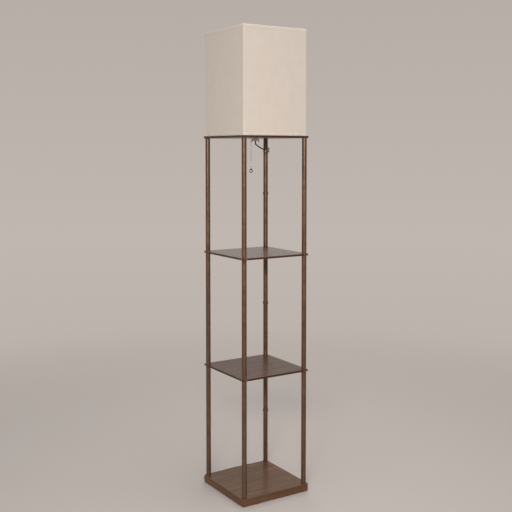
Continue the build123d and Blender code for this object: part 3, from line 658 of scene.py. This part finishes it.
# ---- materials ----------------------------------------------------------------------
def walnut(name, groups, low, high, half, dark, light, gloss, figure, edging=0.0, wear_and_painted_highlight=0.0):
    """Stained veneer on a board between two heights, rubbed lighter along its edges.

    The grain runs along X, and along the edge on the sides that face along X. Edging darkens the sides,
    and a painted highlight, as strong as the last argument, lightens them again just beside each post.
    """
    made, tree, shader, place = new_material(name, {
        "Specular IOR Level": 0.15, "Coat Weight": gloss, "Coat Roughness": 0.13,
    })
    facing = node(tree, "SeparateXYZ", {0: node(tree, "TexCoord").outputs["Normal"]}).outputs
    sideways = maths(tree, "GREATER_THAN", maths(tree, "ABSOLUTE", facing["X"]), 0.7)
    quarter_turn = {"Vector": place, "Angle": math.pi / 2}
    turned = node(tree, "VectorRotate", quarter_turn, rotation_type="Z_AXIS").outputs[0]
    grain = node(tree, "Mix", {0: sideways, 4: place, 5: turned}, data_type="VECTOR").outputs[1]
    stain = {"Vector": grain, "Dark": dark, "Light": light, "Figure": figure}
    wood = use_group(tree, groups["walnut"], stain)
    rub = use_group(tree, groups["rub"], {"Vector": place, "Half side": half, "Low": low, "High": high})
    dust = use_group(tree, groups["speckle"], {"Vector": place})
    upright = band(tree, maths(tree, "ABSOLUTE", facing["Z"]), 0.3, 0.8, edging, 0.0)
    parts = node(tree, "SeparateXYZ", {0: place}).outputs
    inner = maths(tree, "MINIMUM", maths(tree, "ABSOLUTE", parts["X"]), maths(tree, "ABSOLUTE", parts["Y"]))
    # painted highlight: the board's sides turn lighter just beside each post
    near_side = band(tree, inner, POST_AT - 9 * MM, POST_AT - 5 * MM)
    far_side = band(tree, inner, POST_AT + 3 * MM, POST_AT + 6 * MM, 1.0, 0.0)
    beside = times(tree, near_side, far_side)
    colour = tint(tree, upright, wood["Color"], srgb(40, 27, 19))
    colour = tint(tree, times(tree, beside, times(tree, upright, wear_and_painted_highlight)), colour, srgb(112, 82, 60))
    colour = tint(tree, times(tree, rub["Mask"], 0.3), colour, srgb(150, 108, 78))
    rough = plus(tree, band(tree, wood["Grain"], 0.2, 0.8, 0.36, 0.26), times(tree, dust["Cloud"], 0.10))
    wire(tree, shader, colour, rough, wood["Height"], 0.05 * MM, 0.6)
    return made


def painted_rim_shade(tree, colour, amount, full=0.65):
    """Painted shade: colour that turns dark where the surface turns away from the eye."""
    if not amount:
        return colour
    turned = node(tree, "LayerWeight", {"Blend": 0.5}).outputs["Facing"]
    return tint(tree, band(tree, turned, 0.15, full, 0.0, amount), colour, srgb(30, 22, 18))


def bronze(name, groups, colour, sheen, metallic, roughness, rim=0.0):
    """Dark bronze finish: clouded, with faint marks along the piece, and painted shade that darkens its rim.
    """
    made, tree, shader, place = new_material(name, {"Metallic": metallic, "Specular IOR Level": 0.3})
    dust = use_group(tree, groups["speckle"], {"Vector": place, "Cloud size": 0.022, "Grit size": 0.0006})
    drawn = noise_of(tree, stretched(tree, place, 1800, 1800, 22), roughness=0.6)
    part = plus(tree, times(tree, dust["Cloud"], 0.6), times(tree, drawn, 0.4))
    mixed = tint(tree, band(tree, part, 0.25, 0.75), colour, sheen)
    # painted shade on the rim, as strong as rim asks for
    mixed = painted_rim_shade(tree, mixed, rim)
    rough = band(tree, part, 0.3, 0.7, roughness - 0.05, roughness + 0.07)
    height = plus(tree, times(tree, dust["Grit"], 0.6), times(tree, drawn, 0.4))
    wire(tree, shader, mixed, rough, height, 0.02 * MM, 0.5)
    return made


def bright_metal(name, groups, colour, dull, roughness, stretch=(700, 700, 60)):
    """Bare or plated metal with fine tool marks and some tarnish."""
    made, tree, shader, place = new_material(name, {"Metallic": 1.0})
    dust = use_group(tree, groups["speckle"], {"Vector": place, "Cloud size": 0.009, "Grit size": 0.0005})
    marks = noise_of(tree, stretched(tree, place, *stretch), roughness=0.6)
    mixed = tint(tree, band(tree, dust["Cloud"], 0.42, 0.75), colour, dull)
    rough = band(tree, dust["Cloud"], 0.3, 0.7, roughness, roughness + 0.16)
    rough = plus(tree, rough, times(tree, marks, 0.06))
    wire(tree, shader, mixed, rough, marks, 0.01 * MM, 0.4)
    return made


def nut_metal(name, groups):
    """Bronzed casting with a painted highlight that makes its hub pale round the screw and the washer."""
    made, tree, shader, place = new_material(name, {"Metallic": 0.85, "Specular IOR Level": 0.3})
    dust = use_group(tree, groups["speckle"], {"Vector": place, "Cloud size": 0.006, "Grit size": 0.0004})
    level = stretched(tree, place, 1, 1, 0)
    from_axis = node(tree, "VectorMath", {0: level}, operation="LENGTH").outputs["Value"]
    # painted highlight: the hub near the axis turns pale
    painted_hub_highlight = band(tree, from_axis, 6.2 * MM, 7.6 * MM, 0.9, 0.0)
    mixed = tint(tree, painted_hub_highlight, srgb(58, 45, 37), srgb(226, 218, 208))
    mixed = tint(tree, band(tree, dust["Cloud"], 0.4, 0.8, 0.0, 0.4), mixed, srgb(110, 96, 84))
    rough = band(tree, dust["Cloud"], 0.3, 0.7, 0.2, 0.34)
    wire(tree, shader, mixed, rough, dust["Grit"], 0.02 * MM, 0.4)
    return made


def knob_metal(name, groups):
    """Polished nickel ball, with painted shade over its upper part and painted shade at its rim."""
    low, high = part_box("pull_knob")
    middle, half = (low.z + high.z) / 2, (high.z - low.z) / 2
    made, tree, shader, place = new_material(name, {"Metallic": 1.0, "Specular Tint": srgb(120, 108, 98)})
    dust = use_group(tree, groups["speckle"], {"Vector": place, "Cloud size": 0.009, "Grit size": 0.0005})
    mixed = tint(tree, band(tree, dust["Cloud"], 0.42, 0.75), srgb(250, 246, 240), srgb(214, 208, 200))
    height = node(tree, "SeparateXYZ", {0: place}).outputs["Z"]
    # painted shade: the ball's upper part turns dark
    painted_top_shade = band(tree, height, middle + 0.25 * half, middle + 0.6 * half, 0.0, 0.95)
    mixed = tint(tree, painted_top_shade, mixed, srgb(34, 27, 23))
    # painted shade at the rim
    mixed = painted_rim_shade(tree, mixed, 0.9, 0.45)
    rough = band(tree, dust["Cloud"], 0.3, 0.7, 0.08, 0.2)
    wire(tree, shader, mixed, rough, dust["Grit"], 0.01 * MM, 0.4)
    return made


def moulded(name, groups, colour, wear_and_painted_highlight, roughness, gloss=0.45, coat=0.0):
    """Moulded plastic or rubber with a fine grained skin."""
    made, tree, shader, place = new_material(name, {
        "Specular IOR Level": gloss, "Coat Weight": coat, "Coat Roughness": 0.3,
    })
    dust = use_group(tree, groups["speckle"], {"Vector": place, "Cloud size": 0.012, "Grit size": 0.0005})
    mixed = tint(tree, band(tree, dust["Cloud"], 0.35, 0.75), colour, wear_and_painted_highlight)
    rough = band(tree, dust["Cloud"], 0.3, 0.7, roughness - 0.05, roughness + 0.08)
    wire(tree, shader, mixed, rough, dust["Grit"], 0.03 * MM, 0.6)
    return made


def linen(name, groups, light, dark):
    """Plain-woven linen, matt with a soft sheen."""
    made, tree, shader, place = new_material(name, {
        "Specular IOR Level": 0.2, "Sheen Weight": 0.25, "Sheen Roughness": 0.5, "Roughness": 0.92,
    })
    weave = use_group(tree, groups["linen"], {"Vector": place})
    colour = tint(tree, weave["Tone"], dark, light)
    wire(tree, shader, colour, None, weave["Height"], 0.12 * MM, 0.7)
    return made


def felt(name):
    """Dark pressed felt, all fuzz."""
    made, tree, shader, place = new_material(name, {
        "Specular IOR Level": 0.1, "Sheen Weight": 0.4, "Roughness": 0.95,
    })
    fuzz = noise_of(tree, place, 1600.0, 4.0, 0.7)
    colour = tint(tree, band(tree, fuzz, 0.35, 0.7), srgb(24, 20, 18), srgb(58, 50, 45))
    wire(tree, shader, colour, None, fuzz, 0.25 * MM, 0.8)
    return made


def opal_glass(name, groups):
    """Bulb glass, white inside: a soft white with a glassy skin."""
    made, tree, shader, place = new_material(name, {
        "Specular IOR Level": 0.5, "Coat Weight": 0.6, "Coat Roughness": 0.06,
    })
    dust = use_group(tree, groups["speckle"], {"Vector": place, "Cloud size": 0.03, "Grit size": 0.001})
    colour = tint(tree, dust["Cloud"], srgb(236, 233, 226), srgb(244, 242, 238))
    rough = band(tree, dust["Grit"], 0.3, 0.7, 0.16, 0.24)
    wire(tree, shader, colour, rough)
    return made


def liner_white(name, groups):
    """Even white of a plastic sheet or of lacquered wire."""
    made, tree, shader, place = new_material(name, {"Specular IOR Level": 0.4})
    dust = use_group(tree, groups["speckle"], {"Vector": place, "Cloud size": 0.06, "Grit size": 0.0012})
    colour = tint(tree, band(tree, dust["Cloud"], 0.3, 0.7), srgb(226, 220, 208), srgb(238, 234, 226))
    rough = band(tree, dust["Cloud"], 0.3, 0.7, 0.42, 0.55)
    wire(tree, shader, colour, rough, dust["Grit"], 0.02 * MM, 0.4)
    return made


def dress(material, *objects):
    """Gives a material to CAD nodes, by name, or to new pieces."""
    for item in objects:
        obj = NODES[item] if isinstance(item, str) else item
        if obj.type == "MESH":
            for slot in obj.material_slots:
                slot.material = material
        if not obj.material_slots:
            obj.data.materials.append(material)


# ---- which piece gets which finish --------------------------------------------------
BARE_METALS = (                       # name, colour, tarnish, roughness, nodes
    ("zinc_plate", (186, 186, 184), (136, 134, 128), 0.34, (
        "base_bolts", "shelf_studs", "post_plugs", "locator_screws", "socket_nipple", "nipple_washer",
        "lever_pin",
    )),
    ("lacquered_brass", (208, 172, 110), (150, 116, 66), 0.2, (
        "socket_cap", "socket_shell", "chain_bell", "chain_eyelet", "nipple_lock_nut",
    )),
    ("plain_brass", (196, 160, 98), (130, 100, 58), 0.3, (
        "centre_contact", "switch_lever", "plug_blades", "bulb_contact",
    )),
    ("drawn_aluminium", (214, 214, 212), (170, 168, 164), 0.24, ("screw_shell", "bulb_base")),
    ("nickel_chain", (214, 206, 196), (150, 142, 132), 0.2, ("pull_chain_upper", "pull_chain_lower")),
)
MOULDINGS = (                         # name, colour, worn colour, roughness, node
    ("switch_moulding", (34, 24, 20), (56, 42, 34), 0.4, "socket_body"),
    ("black_bead_glass", (22, 20, 24), (44, 40, 46), 0.14, "bulb_insulator"),
    ("fibre_card", (150, 130, 100), (178, 158, 126), 0.85, "socket_insulator"),
    ("dark_bushing", (26, 22, 20), (48, 42, 38), 0.5, "cord_bushing"),
    ("clip_plastic", (52, 38, 31), (74, 56, 46), 0.5, "cord_clips"),
)
BOARDS = (                            # node, gloss, painted highlight beside the posts
    ("shelf_lower", 0.35, 1.0),
    ("shelf_upper", 0.6, 1.0),
    ("top_board", 0.5, 0.3),
)
POST_KINDS = ("post_lower", "post_middle", "post_upper")


def dress_wood(groups):
    dark, light = srgb(84, 58, 40), srgb(128, 92, 66)
    finish = walnut("walnut_base", groups, base_low.z, base_high.z, base_high.x, dark, light,
                    gloss=0.25, figure=0.9)
    dress(finish, "base_board")
    dark, light = srgb(66, 43, 29), srgb(100, 67, 46)
    for name, gloss, wear_and_painted_highlight in BOARDS:
        low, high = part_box(name)
        finish = walnut("walnut_" + name, groups, low.z, high.z, board_high.x, dark, light, gloss,
                        figure=0.7, edging=0.6, wear_and_painted_highlight=wear_and_painted_highlight)
        dress(finish, name)


def dress_metal(groups):
    posts = [name for name in NODES if name.startswith(POST_KINDS)]
    dress(bronze("bronze_tube", groups, srgb(89, 64, 44), srgb(115, 88, 64), 0.35, 0.34, 0.75), *posts)
    dress(nut_metal("bronzed_casting", groups), "wing_nut")
    dress(knob_metal("nickel_ball", groups), "pull_knob")
    blackened = bronze("blackened_steel", groups, srgb(26, 23, 21), srgb(46, 40, 36), 0.4, 0.5)
    dress(blackened, "shade_locators", "top_bolts")
    rolled = bright_metal("mill_steel", groups, srgb(140, 138, 134), srgb(92, 86, 80), 0.45, (900, 40, 40))
    dress(rolled, "base_weight")
    for name, colour, dull, roughness, nodes in BARE_METALS:
        dress(bright_metal(name, groups, srgb(*colour), srgb(*dull), roughness), *nodes)


def dress_mouldings(groups, cord, ties):
    for name, colour, wear_and_painted_highlight, roughness, piece in MOULDINGS:
        dress(moulded(name, groups, srgb(*colour), srgb(*wear_and_painted_highlight), roughness), piece)
    dress(moulded("cord_sheath", groups, srgb(54, 39, 32), srgb(72, 55, 45), 0.55, 0.25), cord, "plug_body")
    dress(moulded("black_nylon", groups, srgb(26, 21, 19), srgb(44, 37, 33), 0.32, 1.0, coat=1.0), *ties)


def dress_all(cord, ties, shade):
    groups = {
        "walnut": walnut_group(), "rub": edge_rub_group(), "speckle": speckle_group(), "linen": linen_group(),
    }
    dress_wood(groups)
    dress_metal(groups)
    dress_mouldings(groups, cord, ties)
    dress(felt("base_felt"), "base_felt")
    dress(opal_glass("opal_glass", groups), "bulb_glass")
    dress(liner_white("styrene_backing", groups), *shade["liner"])
    dress(linen("linen", groups, srgb(217, 208, 199), srgb(201, 188, 176)), *shade["linen"])
    dress(linen("linen_hem", groups, srgb(222, 212, 203), srgb(206, 194, 183)), *shade["hems"])
    dress(liner_white("white_lacquer", groups), "shade_wires", "shade_uprights")


# ---- studio -------------------------------------------------------------------------
BACKDROP = [(-0.32, srgb(184, 175, 168)), (-0.10, srgb(192, 183, 176)), (0.17, srgb(182, 174, 167))]
AMBIENT = 0.33
AMBIENT_COLOUR = (1.0, 0.97, 0.94, 1.0)
KEY_POWER, TOP_POWER, ROOM_POWER = 18.0, 30.0, 20.0
LIGHT_COLOUR = (1.0, 0.96, 0.92)
AIM = (0, 0, 0.95)                    # where the lights point
FLOOR_COLOUR = srgb(208, 202, 198)
FLOOR_RADIUS, FLOOR_SIDES = 3.2, 96


def make_world():
    """Even room light; camera and reflections see the pale backdrop."""
    world = bpy.data.worlds.new("studio")
    bpy.context.scene.world = world
    world.use_nodes = True
    tree = world.node_tree
    tree.nodes.clear()
    direction = node(tree, "TexCoord").outputs["Generated"]
    height = node(tree, "SeparateXYZ", {0: direction}).outputs["Z"]
    low, high = BACKDROP[0][0], BACKDROP[-1][0]
    ramp = node(tree, "ValToRGB", {0: node(tree, "MapRange", {0: height, 1: low, 2: high}).outputs[0]})
    stops = ramp.color_ramp.elements
    stops.new(0.5)
    for stop, (at, colour) in zip(stops, BACKDROP):
        stop.position = (at - low) / (high - low)
        stop.color = colour
    seen = node(tree, "Background", {"Color": ramp.outputs[0], "Strength": 1.0})
    light = node(tree, "Background", {"Color": AMBIENT_COLOUR, "Strength": AMBIENT})
    path = node(tree, "LightPath").outputs
    shows = maths(tree, "MAXIMUM", path["Is Glossy Ray"], path["Is Transmission Ray"])
    shows = maths(tree, "MAXIMUM", path["Is Camera Ray"], shows)
    mixed = node(tree, "MixShader", {0: shows, 1: light.outputs[0], 2: seen.outputs[0]})
    out = node(tree, "OutputWorld")
    tree.links.new(mixed.outputs[0], out.inputs["Surface"])


def make_floor():
    """Round pale floor that fades out into the backdrop."""
    turns = [2 * math.pi * side / FLOOR_SIDES for side in range(FLOOR_SIDES)]
    ring = [Vector((FLOOR_RADIUS * math.cos(turn), FLOOR_RADIUS * math.sin(turn), 0)) for turn in turns]
    floor = mesh_piece("floor", ring, [tuple(range(FLOOR_SIDES))])
    bpy.context.scene.collection.objects.link(floor)
    made, tree, shader, place = new_material("pale_floor", {"Roughness": 0.6, "Specular IOR Level": 0.3})
    grain = noise_of(tree, place, 3.0, 2.0)
    colour = tint(tree, times(tree, grain, 0.1), FLOOR_COLOUR, srgb(186, 177, 170))
    tree.links.new(colour, shader.inputs["Base Color"])
    away = node(tree, "VectorMath", {0: place}, operation="LENGTH").outputs["Value"]
    fade = band(tree, away, 0.9, 2.9)
    clear = node(tree, "BsdfTransparent")
    mixed = node(tree, "MixShader", {0: fade, 1: shader.outputs[0], 2: clear.outputs[0]})
    tree.links.new(mixed.outputs[0], tree.nodes["Material Output"].inputs["Surface"])
    floor.data.materials.append(made)


def softbox(name, place, width, height, power, spread=180):
    """Rectangular light that faces the object."""
    light = bpy.data.lights.new(name, "AREA")
    light.spread = math.radians(spread)
    light.shape = "RECTANGLE"
    light.size, light.size_y = width, height
    light.energy = power
    light.color = LIGHT_COLOUR
    obj = bpy.data.objects.new(name, light)
    obj.location = place
    obj.rotation_euler = (Vector(AIM) - Vector(place)).to_track_quat("-Z", "Y").to_euler()
    bpy.context.scene.collection.objects.link(obj)


def make_lights():
    softbox("key", (-1.88, -2.50, 1.68), 0.9, 0.45, KEY_POWER, spread=90)
    softbox("top", (0.3, -0.5, 3.4), 2.2, 2.2, TOP_POWER)
    softbox("room", (1.7, 2.4, 3.0), 2.0, 2.0, ROOM_POWER)


# ---- put together -------------------------------------------------------------------
make_camera()
cord = make_cord()
ties = make_ties()
shade = make_shade()
dress_all(cord, ties, shade)
make_world()
make_floor()
make_lights()
bpy.context.scene.view_settings.view_transform = "Standard"

bpy.context.view_layer.update()
